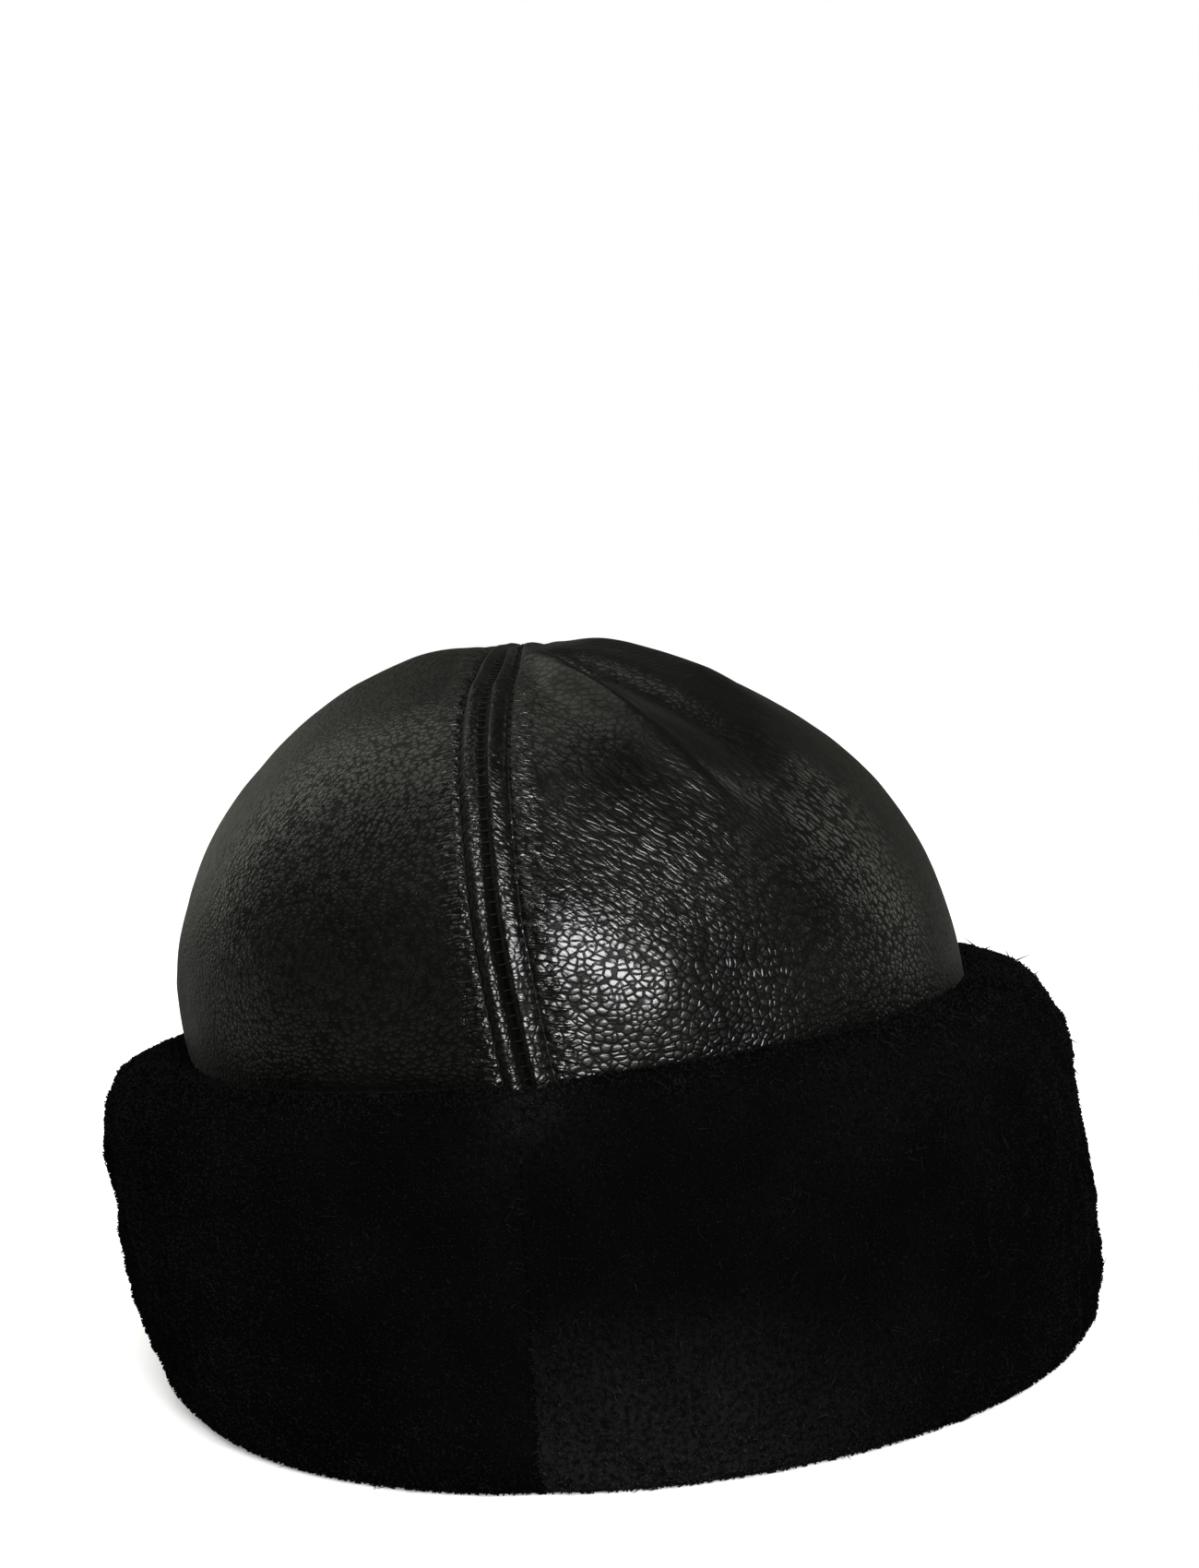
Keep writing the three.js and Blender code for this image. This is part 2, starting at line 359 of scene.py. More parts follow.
def make_grain_group():
    """The height of the grain and a mask of its creases."""
    group, start, end = new_group(
        "Leather grain",
        [
            ("Vector", "NodeSocketVector", None),
            ("Scale", "NodeSocketFloat", 1 / (GRAIN_SIZE * MM)),
            ("Stretch", "NodeSocketFloat", 0.0),
            ("Turn", "NodeSocketVector", None),
        ],
        [("Height", "NodeSocketFloat"), ("Creases", "NodeSocketFloat")],
    )
    tree = Tree(group)
    vector, scale = start.outputs["Vector"], start.outputs["Scale"]
    push = tree.add("ShaderNodeTexNoise", {"Vector": vector, "Scale": PUSH_SCALE, "Detail": 2.0})
    centred = tree.add("ShaderNodeVectorMath", {0: push.outputs["Color"], 1: (0.5, 0.5, 0.5)},
                       operation="SUBTRACT")
    pushed = tree.add("ShaderNodeVectorMath", {0: centred.outputs[0], "Scale": PUSH * MM},
                      operation="SCALE")
    warped = tree.add("ShaderNodeVectorMath", {0: vector, 1: pushed.outputs[0]}, operation="ADD")
    round_cells = tree.add("ShaderNodeMapping", {0: warped.outputs[0], "Scale": ROUND_CELLS})
    turned = tree.add("ShaderNodeVectorRotate", {0: warped.outputs[0],
                                                 "Rotation": start.outputs["Turn"]},
                      rotation_type="EULER_XYZ")
    long_cells = tree.add("ShaderNodeMapping", {0: turned.outputs[0], "Scale": LONG_CELLS})
    pebbles = domes(tree, round_cells.outputs[0], scale)
    streaks = domes(tree, long_cells.outputs[0], scale)
    height = tree.blend(start.outputs["Stretch"], pebbles, streaks)
    pores = tree.add("ShaderNodeTexNoise", {"Vector": vector, "Scale": PORE_SCALE, "Detail": 2.0})
    height = tree.maths("MULTIPLY_ADD", pores.outputs[0], PORE_HEIGHT, height)
    tree.put(end.inputs["Height"], height)
    tree.put(end.inputs["Creases"], tree.remap(height, *CREASE_HEIGHTS, 1.0, 0.0))
    return group


GRAIN = make_grain_group()
print("grain group has", len(GRAIN.nodes), "nodes")

# %% [markdown]
# Sewing gathers the skin. Each stitch pulls a small dip, and fine wrinkles run from the stitches
# across the rolled edge and out into the panel. The mesh carries two painted distances in
# millimetres: away, from the seam, and run, along it from the top. This group draws the gathers
# in those two, so they follow the seam over the whole hat.

# %% Node group: seam gathers
STITCH_AWAY = 5.6
STITCH_PITCH = 3.6
DIP_DEPTH = 0.35
DIP_REACH = 1.3
# Wrinkles and creases have their own fineness across the seam and along it, and lie between
# these distances from it
WRINKLE_HEIGHT = 0.22
WRINKLE_FINENESS = (0.25, 1.1)
WRINKLES_END = (6.5, 11.0)
CREASE_DEPTH = 0.5
CREASE_EDGE = 0.07
CREASE_FINENESS = (0.1, 0.42)
CREASES_START = (5.5, 7.0)
CREASES_END = (8.0, 12.5)


def centred_noise(tree, vector, detail=2.0):
    """Noise from about -0.5 to 0.5."""
    spots = tree.add("ShaderNodeTexNoise", {"Vector": vector, "Scale": 1.0, "Detail": detail})
    return tree.maths("SUBTRACT", spots.outputs[0], 0.5)


def seam_vector(tree, away, run, across_scale, along_scale):
    """A place on the flattened skin, with its two directions scaled apart."""
    across = tree.maths("MULTIPLY", away, across_scale)
    along = tree.maths("MULTIPLY", run, along_scale)
    return tree.add("ShaderNodeCombineXYZ", {0: across, 1: along}).outputs[0]


def make_gather_group():
    """The height of dips, wrinkles and short creases beside the seam."""
    group, start, end = new_group(
        "Seam gathers",
        [("Away", "NodeSocketFloat", FAR_FROM_SEAM), ("Run", "NodeSocketFloat", 0.0)],
        [("Height", "NodeSocketFloat")],
    )
    tree = Tree(group)
    away, run = start.outputs["Away"], start.outputs["Run"]
    from_row = tree.maths("ABSOLUTE", tree.maths("SUBTRACT", away, STITCH_AWAY))
    in_row = tree.remap(from_row, 0.0, DIP_REACH, 1.0, 0.0)
    wave = tree.maths("COSINE", tree.maths("MULTIPLY", run, 2 * math.pi / STITCH_PITCH))
    dips = tree.maths("MULTIPLY", tree.maths("MULTIPLY", wave, in_row), -DIP_DEPTH / 2)
    wrinkles = centred_noise(tree, seam_vector(tree, away, run, *WRINKLE_FINENESS), 3.0)
    near = tree.remap(away, *WRINKLES_END, 1.0, 0.0)
    wrinkles = tree.maths("MULTIPLY", tree.maths("MULTIPLY", wrinkles, near), 2 * WRINKLE_HEIGHT)
    creases = centred_noise(tree, seam_vector(tree, away, run, *CREASE_FINENESS))
    creases = tree.remap(tree.maths("ABSOLUTE", creases), 0.0, CREASE_EDGE, -CREASE_DEPTH, 0.0)
    starting = tree.remap(away, *CREASES_START)
    ending = tree.remap(away, *CREASES_END, 1.0, 0.0)
    creases = tree.maths("MULTIPLY", creases, tree.maths("MULTIPLY", starting, ending))
    height = tree.maths("ADD", tree.maths("ADD", dips, wrinkles), creases)
    tree.put(end.inputs["Height"], height)
    return group


GATHERS = make_gather_group()
print("gather group has", len(GATHERS.nodes), "nodes")

# %% [markdown]
# The third group is a slow unevenness of colour and shine, which skin and wool both have. It
# puts out two shares made from noise of two sizes.

# %% Node group: unevenness
# Spots to a metre, before a material sets its own
BROAD_SCALE = 30.0
FINE_SCALE = 300.0
# The noise between these values is stretched to a share from 0 to 1
NOISE_RANGE = (0.3, 0.7)


def make_uneven_group():
    """Two shares from 0 to 1, of broad and of fine noise."""
    group, start, end = new_group(
        "Unevenness",
        [("Vector", "NodeSocketVector", None), ("Broad", "NodeSocketFloat", BROAD_SCALE),
         ("Fine", "NodeSocketFloat", FINE_SCALE)],
        [("Broad share", "NodeSocketFloat"), ("Fine share", "NodeSocketFloat")],
    )
    tree = Tree(group)
    for size, out in (("Broad", "Broad share"), ("Fine", "Fine share")):
        values = {"Vector": start.outputs["Vector"], "Scale": start.outputs[size], "Detail": 3.0}
        spots = tree.add("ShaderNodeTexNoise", values)
        tree.put(end.inputs[out], tree.remap(spots.outputs[0], *NOISE_RANGE))
    return group


UNEVEN = make_uneven_group()
print("unevenness group has", len(UNEVEN.nodes), "nodes")

# %% [markdown]
# Black leather is hardly a colour at all: almost everything seen on it is reflection. So the
# base colour stays near black, and the look comes from shine and from the grain, which breaks
# the reflection into small sparks. Wear and finish lie on the tops of the grain and not in its
# creases, so a clear coat stands for them, and its weight goes out in the creases. It also goes
# down at a low angle, where real grain hides its own polished tops and a bump can't. A little
# sheen stands for the dusty bloom that lightens the dome towards its edges. The grain's bump
# and the gathers' bump are joined one after the other.

# %% Leather material
LEATHER_BLACK = (0.0006, 0.0006, 0.0005, 1)
LEATHER_WORN = (0.0018, 0.0018, 0.0014, 1)
LEATHER_ROUGHNESS = 0.4
LEATHER_ROUGHNESS_RANGE = 0.08
LEATHER_SPECULAR = 0.07
POLISH_ROUGHNESS = 0.23
POLISH_ON_SMOOTH = 0.35
# How much polish is left at a low angle, and the shares of turning away where it goes
POLISH_AT_LOW_ANGLE = 0.1
LOW_ANGLE = (0.45, 0.75)
BLOOM = 0.022
BLOOM_ROUGHNESS = 0.3
BLOOM_TINT = (1, 1, 0.85, 1)


def new_material(name):
    """A material with its short-hand tree and its shader."""
    material = bpy.data.materials.new(name)
    material.use_nodes = True
    tree = Tree(material.node_tree)
    shader = material.node_tree.nodes["Principled BSDF"]
    return material, tree, shader


def make_leather(name, turn, grain_size, grain_height, most_polish):
    """Black leather. turn is the direction of pull, and sizes are in millimetres."""
    material, tree, shader = new_material(name)
    place = tree.add("ShaderNodeTexCoord").outputs["Object"]
    stretch = tree.add("ShaderNodeAttribute", attribute_name="stretch").outputs["Fac"]
    grain = tree.add("ShaderNodeGroup", node_tree=GRAIN)
    tree.put(grain.inputs["Vector"], place)
    tree.put(grain.inputs["Stretch"], stretch)
    tree.put(grain.inputs["Turn"], turn)
    tree.put(grain.inputs["Scale"], 1 / (grain_size * MM))
    depth = tree.add("ShaderNodeAttribute", attribute_name="grain_depth").outputs["Fac"]
    height = tree.maths("MULTIPLY", grain.outputs["Height"], depth)
    # Colour and roughness vary slowly
    uneven = tree.add("ShaderNodeGroup", node_tree=UNEVEN)
    tree.put(uneven.inputs["Vector"], place)
    colour = tree.add("ShaderNodeMix", {0: uneven.outputs[0], 6: LEATHER_BLACK, 7: LEATHER_WORN},
                      data_type="RGBA")
    tree.put(shader.inputs["Base Color"], colour.outputs[2])
    rough = tree.maths("MULTIPLY_ADD", uneven.outputs[1], LEATHER_ROUGHNESS_RANGE,
                       LEATHER_ROUGHNESS)
    tree.put(shader.inputs["Roughness"], rough)
    # Polish lies on the grain's tops, and less of it shows at a low angle
    creases = tree.maths("MULTIPLY", grain.outputs["Creases"], depth)
    polish = tree.maths("MULTIPLY_ADD", creases, -most_polish, most_polish)
    polish = tree.maths("MULTIPLY", polish, tree.blend(depth, POLISH_ON_SMOOTH, 1.0))
    facing = tree.add("ShaderNodeLayerWeight", {"Blend": 0.5}).outputs["Facing"]
    seen = tree.remap(facing, *LOW_ANGLE, 1.0, POLISH_AT_LOW_ANGLE)
    tree.put(shader.inputs["Coat Weight"], tree.maths("MULTIPLY", polish, seen))
    shader.inputs["Coat Roughness"].default_value = POLISH_ROUGHNESS
    shader.inputs["Sheen Weight"].default_value = BLOOM
    shader.inputs["Sheen Roughness"].default_value = BLOOM_ROUGHNESS
    shader.inputs["Sheen Tint"].default_value = BLOOM_TINT
    shader.inputs["Specular IOR Level"].default_value = LEATHER_SPECULAR
    # The gathers beside the seam bend the light first, and the grain lies on them
    gathers = tree.add("ShaderNodeGroup", node_tree=GATHERS)
    for label, attribute in (("Away", "away"), ("Run", "run")):
        painted = tree.add("ShaderNodeAttribute", attribute_name=attribute)
        tree.put(gathers.inputs[label], painted.outputs["Fac"])
    gathered = tree.maths("MULTIPLY", gathers.outputs["Height"], depth)
    broad = tree.add("ShaderNodeBump", {"Height": gathered, "Distance": MM})
    fine = tree.add("ShaderNodeBump", {"Height": height, "Distance": grain_height * MM,
                                       "Normal": broad.outputs[0]})
    tree.put(shader.inputs["Normal"], fine.outputs[0])
    tree.put(shader.inputs["Coat Normal"], fine.outputs[0])
    return material


# Each half has its own direction of pull, size and height of grain in millimetres, and polish
LEATHER_RIGHT = make_leather("leather right", turn=(0.0, math.radians(-36), 0.0),
                             grain_size=1.8, grain_height=0.25, most_polish=1.0)
LEATHER_LEFT = make_leather("leather left", turn=(0.0, math.radians(58), 0.0),
                            grain_size=1.4, grain_height=0.22, most_polish=0.85)
print("two leathers, with", len(LEATHER_RIGHT.node_tree.nodes), "nodes each")

# %% [markdown]
# Soft leather keeps the folds it has been pressed into. This hat has a pinch that runs from the
# top to the right, with a crease and a hollow behind it, and slow swellings elsewhere. Each fold
# is a line in space with a width and a lift: a point near the line is raised or sunk by a bell
# curve. Sculpting would work too, but lines can be measured on the photograph and moved later.

# %% The folds of this hat
FOLDS = {
    "pinch ridge": {
        "path": [(-4, -30, 181), (-1, -38, 179), (8, -50, 173), (22, -59, 164), (39, -68, 150),
                 (52, -69, 138)],
        "width": 5.5,
        "lift": 4.4,
        "fades_from": 0.6,
    },
    "crease behind the ridge": {
        "path": [(-1, -28, 181), (5, -36, 178), (13, -46, 174), (26, -59, 163), (43, -64, 150)],
        "width": 3,
        "lift": -2.7,
        "fades_from": 0.4,
    },
    "hollow behind the crease": {
        "path": [(6, -31, 179), (14, -34, 177), (23, -40, 172), (45, -50, 157), (56, -51, 148),
                 (70, -46, 136)],
        "width": 8.5,
        "lift": -3.5,
        "fades_from": 0.45,
    },
    "second pinch": {
        "path": [(3, -28, 181), (9, -32, 179), (17, -36, 176)],
        "width": 2,
        "lift": 1.8,
        "fades_from": 0.5,
    },
    "bank behind the hollow": {
        "path": [(12, 0, 181), (28, -6, 177), (44, -15, 169), (58, -24, 156)],
        "width": 10,
        "lift": 2.4,
        "fades_from": 0.5,
    },
    "bulge in front": {
        "path": [(9, -98, 118), (26, -100, 106), (46, -95, 98)],
        "width": 15,
        "lift": 3.0,
        "fades_from": 0.6,
    },
    "seam sinks at the top": {
        "path": [(-12, -42, 180), (-12, 20, 183)],
        "width": 10,
        "lift": -2.2,
    },
    "left shoulder": {
        "path": [(-36, -18, 179), (-62, -22, 168), (-78, -26, 156)],
        "width": 13,
        "lift": 2.3,
        "fades_from": 0.3,
    },
    "left side": {
        "path": [(-101, -24, 88), (-101, -24, 104), (-99, -26, 122)],
        "width": 13,
        "lift": 1.9,
        "fades_from": 0.4,
    },
}


def bell(value, width):
    """1 where the value is 0, and close to 0 at twice the width."""
    return np.exp(-((value / width) ** 2))


def along_path(points, path):
    """How far points are from a line of straight stretches, and how far along it, from 0 to 1."""
    nearest = np.full(points.shape[:-1], np.inf)
    progress = np.zeros(points.shape[:-1])
    for number, (start, end) in enumerate(zip(path[:-1], path[1:])):
        start, span = np.array(start, float), np.subtract(end, start)
        share = np.clip((points - start) @ span / (span @ span), 0, 1)
        distance = np.linalg.norm(points - start - share[..., None] * span, axis=-1)
        progress = np.where(distance < nearest, (number + share) / (len(path) - 1), progress)
        nearest = np.minimum(nearest, distance)
    return nearest, progress


def share_between(value, low, high):
    """0 below low, 1 above high and even between them."""
    return np.clip((value - low) / (high - low), 0, 1)


def fold_relief(points):
    """How far the folds lift or sink each point, in millimetres."""
    folds = np.zeros(points.shape[:-1])
    for fold in FOLDS.values():
        distance, progress = along_path(points, fold["path"])
        kept = 1.0
        if "fades_from" in fold:
            kept = 1 - share_between(progress, fold["fades_from"], 1)
        folds += fold["lift"] * bell(distance, fold["width"]) * kept
    return folds


print(len(FOLDS), "folds")

# %% [markdown]
# Each crown half is cut leather turned in at the seam. Beside the seam's dark groove the edge is
# rolled, a little over 1 mm high, and further out a row of stitching pulls the skin down. All
# of it is given as one profile across the seam, a sum of bell curves of the distance from it. It
# moves the points of a fine grid, since it shows in the outline and a bump would not.

# %% The relief of the seam
# Under the cuff the leather is plain: the relief starts between these heights
RELIEF_FADE_FROM = 70
RELIEF_FADE_TO = 84
# The rolled edges lean to the right: the left one is highest far from the groove and the right
# one beside it
ROLLED_EDGES = {
    -1: {"crest": 3.4, "inner_width": 1.9, "outer_width": 0.9},
    1: {"crest": 1.9, "inner_width": 0.6, "outer_width": 2.6},
}
EDGE_HEIGHT = 1.3
# The groove closes between these heights, where the seam turns over the top
GROOVE_CLOSES_FROM = 118
GROOVE_CLOSES_TO = 150
GROOVE_LOW = {"depth": 3.4, "width": 1.0}
GROOVE_HIGH = {"depth": 1.2, "width": 0.5}
STITCH_DIP = 0.8
DIP_WIDTH = 0.7
SWELLING = {"away": 8.4, "width": 2.2, "height": 0.35}
SOFT_LEATHER = [
    {"height": 0.35, "size": 22, "seed": 1},
    {"height": 0.12, "size": 8, "seed": 2},
]


def seam_profile(side, away, height):
    """Groove, rolled edge, dip of the stitching and the swelling outside it."""
    edge = ROLLED_EDGES[side]
    width = np.where(away < edge["crest"], edge["inner_width"], edge["outer_width"])
    rolled = EDGE_HEIGHT * bell(away - edge["crest"], width)
    closed = share_between(height, GROOVE_CLOSES_FROM, GROOVE_CLOSES_TO)
    depth = GROOVE_LOW["depth"] + (GROOVE_HIGH["depth"] - GROOVE_LOW["depth"]) * closed
    width = GROOVE_LOW["width"] + (GROOVE_HIGH["width"] - GROOVE_LOW["width"]) * closed
    groove = -depth * bell(away, width)
    dip = -STITCH_DIP * bell(away - STITCH_AWAY, DIP_WIDTH)
    swelling = SWELLING["height"] * bell(away - SWELLING["away"], SWELLING["width"])
    return groove + rolled + dip + swelling


# The stiff seam holds the leather up like a keel, so the two panels face apart beside it
KEEL_HEIGHT = 6.0
KEEL_REACH = 26
KEEL_ENDS_FROM = 150
KEEL_ENDS_TO = 175


def keel_relief(points):
    """How far the seam's keel lifts each point."""
    aside = np.abs(points[..., 0] - seam_x(points[..., 2]))
    ending = 1 - share_between(points[..., 2], KEEL_ENDS_FROM, KEEL_ENDS_TO)
    return KEEL_HEIGHT * np.exp(-aside / KEEL_REACH) * ending


def seam_relief(side, away, points):
    """The relief that stitches follow: everything but the small unevenness."""
    fade = share_between(points[..., 2], RELIEF_FADE_FROM, RELIEF_FADE_TO)
    seam = seam_profile(side, away, points[..., 2])
    return fade * (seam + keel_relief(points) + fold_relief(points))


def crown_relief(side, points, away):
    """All that lifts or sinks the leather's outside."""
    fade = share_between(points[..., 2], RELIEF_FADE_FROM, RELIEF_FADE_TO)
    return seam_relief(side, away[:, None], points) + fade * lumps(points, SOFT_LEATHER)


print("the keel is", KEEL_HEIGHT, "mm high and the rolled edges", EDGE_HEIGHT, "mm")

# %% [markdown]
# Now the two halves of the crown. The outside grid takes the relief, the inside grid follows
# at the leather's thickness, and both are joined into one closed shell. What the material needs
# to know is painted on the points: the distance from the seam, the way along it, how far the
# grain is stretched, and how deep it is. Painted values stay with the mesh when it is
# exported or edited, and need no second unwrapped picture of the hat.

# %% Make the leather
LEATHER_THICKNESS = 1.4
LEAST_THICKNESS = 0.8
SEAM_STRIP = [0.15, 0.35, 0.6, 0.9, *np.arange(1.2, 8.0, 0.3), 8.6, 9.4, 10.4, 11.6, 13.0]
LEATHER_PANELS = 120
LEATHER_ROWS = 150
SKIRT = [84, 80, 74, 60, 35, CROWN_FOOT]
# Heights between which the grain is drawn out, is round again, and grows smoother
STRETCH_STARTS = (105, 140)
STRETCH_ENDS = (152, 172)
STRETCH_MOST = {-1: 0.5, 1: 0.9}
GRAIN_SMOOTHS = (140, 165)
GRAIN_DEPTH_TOP = {-1: 0.85, 1: 0.6}
# The pinch pulls the skin smooth along its ridge and leaves it rough in the hollow behind
HOLLOW_GRAIN_REACH = 9
RIDGE_GRAIN_REACH = 6
RIDGE_GRAIN_DEPTH = 0.4


def paint(piece, name, values):
    """Stores one number at each point of a mesh, for its material to read."""
    layer = piece.data.attributes.new(name, "FLOAT", "POINT")
    layer.data.foreach_set("value", np.asarray(values, np.float32))


def make_crown_leather(name, node, side, material):
    """The leather of one half, -1 for left and 1 for right."""
    columns = half_columns(side, SEAM_STRIP, LEATHER_PANELS)
    across, along, upright = dome_grid(columns, LEATHER_ROWS, SKIRT)
    plain = crown_point(across, along, 0.0, upright)
    relief = crown_relief(side, plain, columns["away"])
    outside = crown_point(across, along, relief, upright)
    # Where the relief is deep, the inside gives way to it
    deep = np.minimum(relief + LEATHER_THICKNESS - LEAST_THICKNESS, 0)
    inside = crown_point(across, along, -LEATHER_THICKNESS + deep, upright)
    vertices = np.concatenate([outside.reshape(-1, 3), inside.reshape(-1, 3)])
    piece = link_mesh(name, vertices, shell_faces(*across.shape), material)
    steps = np.linalg.norm(np.diff(plain, axis=1), axis=2)
    run = np.concatenate([np.zeros((len(steps), 1)), np.cumsum(steps, axis=1)], axis=1)
    away = np.broadcast_to(columns["away"][:, None], run.shape)
    low = share_between(plain[..., 2], *STRETCH_STARTS)
    high = 1 - share_between(plain[..., 2], *STRETCH_ENDS)
    stretch = low * high * STRETCH_MOST[side]
    depth = 1 - (1 - GRAIN_DEPTH_TOP[side]) * share_between(plain[..., 2], *GRAIN_SMOOTHS)
    from_hollow = along_path(plain, FOLDS["hollow behind the crease"]["path"])[0]
    depth = np.maximum(depth, bell(from_hollow, HOLLOW_GRAIN_REACH))
    from_ridge = along_path(plain, FOLDS["pinch ridge"]["path"])[0]
    depth += (RIDGE_GRAIN_DEPTH - depth) * bell(from_ridge, RIDGE_GRAIN_REACH)
    painted = {"away": away, "run": run, "stretch": stretch, "grain_depth": depth}
    for label, values in painted.items():
        paint(piece, label, np.tile(values.ravel(), 2))
    tidy_mesh(piece)
    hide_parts(node)
    print(name, len(piece.data.polygons), "faces")


make_crown_leather("crown_left_leather", "crown_left", -1, LEATHER_LEFT)
make_crown_leather("crown_right_leather", "crown_right", 1, LEATHER_RIGHT)

# %% [markdown]
# Black wool is matt, and darkest where one looks down between the hairs, where shade falls. So one
# material maker serves all the wool of this hat: it goes from a deep grey to the grey of the tips
# by a slow unevenness, with fine specks for single hairs. A slow noise alone would look like felt.

# %% Fur materials
FUR_ROUGHNESS = 0.85
FUR_SHEEN_ROUGHNESS = 0.5
# Fine specks of the pile, and how much of its lighter grey a dark speck keeps
SPECK_SCALE = 850.0
SPECK_LEAST = 0.15


def make_fur(name, deep, tip, specular, sheen=0.0):
    """Grey from deep to tip, by a slow unevenness and by the painted sheen of the nap."""
    material, tree, shader = new_material(name)
    place = tree.add("ShaderNodeTexCoord").outputs["Object"]
    uneven = tree.add("ShaderNodeGroup", node_tree=UNEVEN)
    tree.put(uneven.inputs["Vector"], place)
    tree.put(uneven.inputs["Fine"], SPECK_SCALE)
    painted_nap_sheen = tree.add("ShaderNodeAttribute", attribute_name="painted_nap_sheen").outputs["Fac"]
    # The painted sheen and highlight of the nap lighten the grey: painted light
    share = tree.maths("ADD", uneven.outputs[0], painted_nap_sheen)
    share = tree.maths("MULTIPLY", share, tree.blend(uneven.outputs[1], SPECK_LEAST, 1.0))
    grey = tree.maths("MULTIPLY_ADD", share, tip - deep, deep)
    colour = tree.add("ShaderNodeCombineColor", {0: grey, 1: grey, 2: grey})
    tree.put(shader.inputs["Base Color"], colour.outputs[0])
    shader.inputs["Roughness"].default_value = FUR_ROUGHNESS
    shader.inputs["Specular IOR Level"].default_value = specular
    shader.inputs["Sheen Weight"].default_value = sheen
    shader.inputs["Sheen Roughness"].default_value = FUR_SHEEN_ROUGHNESS
    return material


# The cuff's body under the hairs gets a darker grey than the hairs: painted shade deep in the pile
SHADED_FUR_BODY = make_fur("black fur, deep, painted shade", deep=0.0006, tip=0.0012, specular=0.0)
FUR_HAIR = make_fur("black fur, hairs", deep=0.0010, tip=0.0022, specular=0.03)
STRAY_HAIR = make_fur("grey stray hairs", deep=0.02, tip=0.05, specular=0.1)
WOOL = make_fur("black wool inside", deep=0.0004, tip=0.0012, specular=0.05, sheen=0.02)
print("fur materials:", SHADED_FUR_BODY.name, "|", FUR_HAIR.name, "|", STRAY_HAIR.name, "|", WOOL.name)

# %% [markdown]
# Sheared wool is a dense pile cut to one length. It is made in two parts: a body with a lumpy
# surface, and many short hairs that stand on it, each a slender closed spike of four triangles.
# Particle hair would look as good, but it isn't a mesh, and this hat has to be one. The hairs
# are scattered evenly by area with a fixed seed, so that every run gives the same fur. They
# gather into tufts, because the neighbours in a tuft lean the same way and are about as long.

# %% Hairs
TUFT_SIZE = 4.5
TUFT_LEAN = 0.8
TUFT_LENGTH = 1.1
TUFT_SEED = 7
ROOT_DEPTH = 0.4
LENGTH_SHARES = (0.6, 1.15)
# No hair goes through the floor
LOWEST_TIP = 0.1


def scatter(points, faces, count, seed):
    """Random places on a mesh of quads, by area, with the normal at each."""
    rng = np.random.default_rng(seed)
    triangles = np.concatenate([faces[:, [0, 1, 2]], faces[:, [0, 2, 3]]])
    a, b, c = (points[triangles[:, k]] for k in range(3))
    normal = np.cross(b - a, c - a)
    area = np.linalg.norm(normal, axis=1)
    keep = rng.choice(len(area), count, p=area / area.sum())
    u, v = rng.random((2, count, 1))
    folded = u + v > 1
    u, v = np.where(folded, 1 - u, u), np.where(folded, 1 - v, v)
    place = a[keep] + u * (b[keep] - a[keep]) + v * (c[keep] - a[keep])
    return place, normal[keep] / area[keep][:, None], rng


def make_hairs(name, place, normal, rng, length, width, lean, spread, material):
    """Closed spikes from each place. lean is a shift of the tips, and spread is their disorder."""
    count = len(place)
    tufts = np.array([noise.noise_vector(Vector(point)) for point in place / TUFT_SIZE])
    direction = normal + lean + TUFT_LEAN * tufts + spread * rng.normal(size=(count, 3))
    direction /= np.linalg.norm(direction, axis=1)[:, None]
    reach = length * rng.uniform(*LENGTH_SHARES, (count, 1)) * (1 + TUFT_LENGTH * tufts[:, :1])
    side = np.cross(direction, rng.normal(size=(count, 3)))
    side /= np.linalg.norm(side, axis=1)[:, None]
    other = np.cross(direction, side)
    base = place - ROOT_DEPTH * normal
    corners = []
    for turn in (0, 2 * math.pi / 3, 4 * math.pi / 3):
        around = math.cos(turn) * side + math.sin(turn) * other
        corners.append(base + around * width / 2)
    tip = place + direction * reach
    tip[:, 2] = np.maximum(tip[:, 2], LOWEST_TIP)
    vertices = np.stack([*corners, tip], axis=1).reshape(-1, 3)
    first = np.arange(count)[:, None] * 4
    spike = ([0, 1, 3], [1, 2, 3], [2, 0, 3], [2, 1, 0])
    faces = np.concatenate([first + face for face in spike])
    return link_mesh(name, vertices, faces, material, smooth=False)


# Without a seed, noise_vector would give other tufts in every run
noise.seed_set(TUFT_SEED)
print("a tuft is about", TUFT_SIZE, "mm wide")

# %% [markdown]
# The cuff is the shearling's own edge turned up, wool outwards, so it is fattest in the middle,
# rounded at its crest and flattened where it rests. Its section is worked out by two rounded
# corners, and the section is swept round the crown by the same crown_point as before. The
# body stays a little inside the true surface, and the hairs fill the rest.

# %% The cuff's form
CUFF_HEIGHT = 88
CUFF_RISE_RIGHT = 6.0
CUFF_RISE_FRONT = 2.9
CUFF_SETTLE_RIGHT = 1.2
CUFF_SWELL_LEFT = 2.2
CUFF_THICKNESS = 24.6
CUFF_FATTEST = 0.59
CUFF_FOOT_SHARE = 0.5
TOP_ROUNDNESS = 4.6
FOOT_ROUNDNESS = 2.65
FOOT_FULLER_RIGHT = 0.4
CREST_SLOPE = 0.03
# How quickly the crest's slope ends towards the outer side
CREST_SLOPE_EASE = 8
# Between the cuff and the crown, and between the cuff's flat foot and the floor
CROWN_GAP = 0.3
FLOOR_GAP = 0.4
# The crown's foot stands on the cuff's inner fold
INNER_FOLD_DEPTH = 0.5
INNER_FOLD_EDGE = 1
INNER_SIDE_SHARE = 0.86
CREST_CORNER = {"out": 0.5, "down": 2.2}
PART_DEPTH = 1.5
PART_WIDTH = 6
PILE = 1.0
CUFF_LUMPS = [
    {"height": 1.9, "size": 14, "seed": 3},
    {"height": 1.2, "size": 5, "seed": 4},
]
